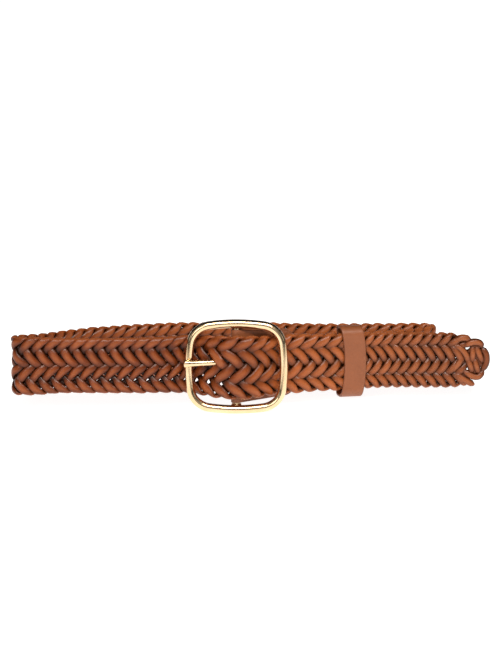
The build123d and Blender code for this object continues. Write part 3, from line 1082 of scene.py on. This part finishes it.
def mix(tree, factor, first, second, blend="MIX"):
    """Two colours mixed, by the colour sockets of Blender's mix node."""
    inputs = {0: factor, 6: first, 7: second}
    return add(tree, "Mix", inputs, data_type="RGBA", blend_type=blend).outputs[2]


def shaded(tree, colour, value):
    """A colour multiplied by a float socket."""
    grey = add(tree, "CombineColor", {"Red": value, "Green": value, "Blue": value}).outputs[0]
    return mix(tree, 1.0, colour, grey, "MULTIPLY")


def colour_ramp(tree, value, stops):
    """A ramp through (position, colour) stops."""
    ramp = add(tree, "ValToRGB", {"Fac": value})
    while len(ramp.color_ramp.elements) < len(stops):
        ramp.color_ramp.elements.new(0.5)
    for element, (position, colour) in zip(ramp.color_ramp.elements, stops):
        element.position = position
        element.color = colour
    return ramp.outputs[0]


def bump(tree, height, distance, strength=1.0, normal=None):
    inputs = {"Height": height, "Distance": distance, "Strength": strength}
    if normal is not None:
        inputs["Normal"] = normal
    return add(tree, "Bump", inputs).outputs["Normal"]


def leather_grain(tree, coords):
    """Fine pebbles with soft creases between them, as a height."""
    inputs = {"Vector": coords, "Scale": 1500.0, "Smoothness": 0.6}
    cells = add(tree, "TexVoronoi", inputs, feature="SMOOTH_F1").outputs["Distance"]
    return math_node(tree, "ADD", cells, times(tree, noise(tree, coords, 900.0), 0.8))


def plaited_leather():
    """Cognac leather with a painted highlight on the crowns and painted shade in the crevices and on the
    thongs' sides, with fibres along each thong.
    """
    made, tree, shader = new_material("plaited_leather")
    coords = object_coords(tree)
    tones = (
        (0.0, (138, 73, 38)),
        (S_BACK / LENGTH, (150, 79, 39)),
        (S_FOLD_LEFT / LENGTH, (114, 53, 22)),
        (S_LEFT_ROD / LENGTH, (111, 50, 19)),
        (S_BAR / LENGTH, (119, 55, 20)),
        (S_RIGHT_ROD / LENGTH, (150, 78, 38)),
        (S_KEEPER / LENGTH, (150, 81, 43)),
        (1.0, (108, 56, 30)),
    )
    stops = [(position, srgb(*tone)) for position, tone in tones]
    colour = colour_ramp(tree, attribute(tree, "place"), stops)
    cloud = patches(tree, coords, 55.0, 0.86, 1.12)
    mottle = patches(tree, coords, 420.0, 0.92, 1.08, detail=4.0)
    colour = shaded(tree, colour, times(tree, cloud, mottle))
    own_tone = math_node(tree, "SINE", times(tree, attribute(tree, "kind"), 40.0))
    colour = shaded(tree, colour, remap(tree, own_tone, -1, 1, 0.93, 1.06))
    painted_light = attribute(tree, "painted_light")
    # Painted highlight: a lighter colour mixed in on the crowns.
    painted_highlight = remap(tree, painted_light, 0.84, 1.05, 0.0, 0.34)
    colour = mix(tree, painted_highlight, colour, srgb(186, 110, 66))
    # Painted shade: the colour darkened in the crevices where thongs dive under their neighbours, and on
    # their sides.
    colour = shaded(tree, colour, remap(tree, painted_light, 0.25, 0.86, 0.12, 1.0))
    stretched = {
        "X": times(tree, attribute(tree, "run"), 110.0),
        "Y": times(tree, attribute(tree, "round"), 900.0),
        "Z": times(tree, attribute(tree, "kind"), 50.0),
    }
    fibre_coords = add(tree, "CombineXYZ", stretched).outputs[0]
    fibres = noise(tree, fibre_coords, 1.0, 4.0, 0.6)
    surface = bump(tree, leather_grain(tree, coords), 0.00006, 0.55)
    surface = bump(tree, fibres, 0.00022, 0.6, surface)
    rough = patches(tree, coords, 300.0, 0.23, 0.36)
    coat(tree, shader, colour, surface, rough)
    shader.inputs["Specular IOR Level"].default_value = 0.25
    return made


def smooth_leather():
    """Calf leather with a fine grain, darker at its cut edges, and faint scuffs."""
    made, tree, shader = new_material("smooth_leather")
    coords = object_coords(tree)
    cloud = patches(tree, coords, 70.0, 0.93, 1.06)
    mottle = patches(tree, coords, 700.0, 0.96, 1.04, detail=4.0)
    colour = shaded(tree, srgb(136, 77, 44), times(tree, cloud, mottle))
    # A darker colour within a millimetre of the cut edges.
    darker_edge = remap(tree, attribute(tree, "rim"), 0.0001, 0.0009, 0.45, 0.0)
    colour = mix(tree, darker_edge, colour, srgb(96, 48, 26))
    scuff = remap(tree, noise(tree, coords, 230.0, 6.0), 0.62, 0.72, 0.0, 0.18)
    colour = mix(tree, scuff, colour, srgb(180, 116, 78))
    surface = bump(tree, leather_grain(tree, coords), 0.00005, 0.5)
    surface = bump(tree, noise(tree, coords, 160.0), 0.0003, 0.3, surface)
    rough = patches(tree, coords, 260.0, 0.4, 0.52)
    coat(tree, shader, colour, surface, rough)
    return made


def gilt_metal():
    """Pale polished gilding with fine handling marks."""
    made, tree, shader = new_material("gilt_metal")
    coords = object_coords(tree)
    cloud = remap(tree, noise(tree, coords, 90.0), 0.35, 0.65, 0.0, 1.0)
    colour = mix(tree, cloud, srgb(236, 208, 168), srgb(228, 197, 154))
    marks = noise(tree, coords, 1300.0, 6.0, 0.7)
    rough = remap(tree, marks, 0.4, 0.75, 0.13, 0.21)
    surface = bump(tree, marks, 0.00001, 0.12)
    coat(tree, shader, colour, surface, rough)
    shader.inputs["Metallic"].default_value = 1.0
    return made


def thread():
    """Waxed thread with a twist."""
    made, tree, shader = new_material("thread")
    inputs = {"Vector": object_coords(tree), "Scale": 450.0, "Distortion": 1.5}
    twist = add(tree, "TexWave", inputs, bands_direction="DIAGONAL").outputs["Fac"]
    colour = mix(tree, twist, srgb(128, 72, 44), srgb(176, 112, 74))
    surface = bump(tree, twist, 0.00008, 0.7)
    rough = remap(tree, twist, 0, 1, 0.7, 0.5)
    coat(tree, shader, colour, surface, rough)
    return made


def binding_tape():
    """Woven cotton tape."""
    made, tree, shader = new_material("binding_tape")
    inputs = {"Vector": object_coords(tree), "Scale": 500.0}
    warp = add(tree, "TexWave", inputs, bands_direction="X").outputs["Fac"]
    weft = add(tree, "TexWave", inputs, bands_direction="Z").outputs["Fac"]
    weave = times(tree, warp, weft)
    colour = mix(tree, weave, srgb(120, 78, 52), srgb(168, 120, 84))
    surface = bump(tree, weave, 0.0001, 0.8)
    rough = remap(tree, weave, 0, 1, 0.9, 0.75)
    coat(tree, shader, colour, surface, rough)
    return made


def dress(material, *objects):
    """Give objects one material."""
    for item in objects:
        item.data.materials.clear()
        item.data.materials.append(material)


dress(plaited_leather(), *plait)
dress(smooth_leather(), chape, keeper)
dress(gilt_metal(), buckle_frame, prong, frame["nodes"]["centre_bar"])
dress(thread(), *threads)
dress(binding_tape(), end_tape)

# ---- studio
# The camera looks a little from above, across a floor that renders white.
CAMERA_DISTANCE = 1345.0
CAMERA_RAISE = math.radians(9.0)
CAMERA_AIM = (9.0, 0.0, 22.2)
LENS = 110
SENSOR_HEIGHT = 36
WARM_WHITE = (1.0, 0.95, 0.88)
LIGHT_AIM = (0, 0, 0.03)
WORLD_STRENGTH = 1.2
FLOOR_HALF_SIDE = 6.0
FLOOR_GLOW = 0.92


def look(item, location, target):
    """Put a camera or a light at a location and point it at a target."""
    item.location = location
    direction = Vector(target) - item.location
    item.rotation_euler = direction.to_track_quat("-Z", "Y").to_euler()


def place_camera():
    """A long lens on the buckle side, a little above the belt's plane."""
    data = bpy.data.cameras.new("camera")
    data.lens = LENS
    data.sensor_fit = "VERTICAL"
    data.sensor_height = SENSOR_HEIGHT
    data.clip_end = 20
    away = np.array([0, -math.cos(CAMERA_RAISE), math.sin(CAMERA_RAISE)]) * CAMERA_DISTANCE
    camera = new_object("camera", data)
    look(camera, place(CAMERA_AIM + away), place(CAMERA_AIM))
    bpy.context.scene.camera = camera


def area_light(name, location, size, power):
    """A soft box that points at the belt."""
    data = bpy.data.lights.new(name, "AREA")
    data.shape = "RECTANGLE"
    data.size, data.size_y = size
    data.energy = power
    data.color = WARM_WHITE
    look(new_object(name, data), location, LIGHT_AIM)


def grey_ramp(tree, value, stops):
    """A ramp through (position, level) stops."""
    greys = [(position, (level, level, level, 1)) for position, level in stops]
    return colour_ramp(tree, value, greys)


def studio_world():
    """Soft light all round, with dark bands that draw lines in polished metal."""
    world = bpy.data.worlds.new("studio")
    bpy.context.scene.world = world
    world.use_nodes = True
    tree = world.node_tree
    direction = add(tree, "TexCoord").outputs["Generated"]
    parts = add(tree, "SeparateXYZ", {"Vector": direction})
    levels = ((0, 0.5), (0.49, 0.4), (0.5, 0.05), (0.56, 0.05), (0.6, 0.38), (0.68, 0.42), (0.76, 0.22))
    height = grey_ramp(tree, remap(tree, parts.outputs["Z"], -1, 1, 0, 1), levels)
    sideways = math_node(tree, "ABSOLUTE", parts.outputs["X"])
    walls = grey_ramp(tree, sideways, ((0, 1), (0.42, 1), (0.5, 0.1), (0.68, 0.1), (0.78, 1)))
    above = remap(tree, parts.outputs["Z"], 0.45, 0.6, 0, 1)
    walls = mix(tree, above, walls, (1, 1, 1, 1))
    depth = remap(tree, parts.outputs["Y"], -1, 1, 0, 1)
    back_wall = grey_ramp(tree, depth, ((0, 1), (0.38, 1), (0.46, 0.12), (1, 0.08)))
    walls = mix(tree, 1.0, walls, back_wall, "MULTIPLY")
    colour = mix(tree, 1.0, height, walls, "MULTIPLY")
    feed(tree, tree.nodes["Background"], {"Color": colour, "Strength": WORLD_STRENGTH})


def build_floor():
    """A plain floor, so bright that it meets the white of the background."""
    side = FLOOR_HALF_SIDE
    mesh = bpy.data.meshes.new("floor")
    corners = [(-side, -side, 0), (side, -side, 0), (side, side, 0), (-side, side, 0)]
    mesh.from_pydata(corners, [], [(0, 1, 2, 3)])
    floor = new_object("floor", mesh)
    made, tree, shader = new_material("floor")
    matt = {"Base Color": (0.6, 0.6, 0.6, 1), "Roughness": 0.9, "Specular IOR Level": 0.1}
    glow = {"Emission Color": (1, 1, 1, 1), "Emission Strength": FLOOR_GLOW}
    feed(tree, shader, matt | glow)
    dress(made, floor)


place_camera()
area_light("key", (0.1, -0.8, 1.15), (1.0, 0.4), 19)
area_light("front", (-0.6, -1.2, 0.7), (0.6, 0.5), 3.0)
studio_world()
build_floor()
bpy.context.scene.view_settings.view_transform = "Standard"
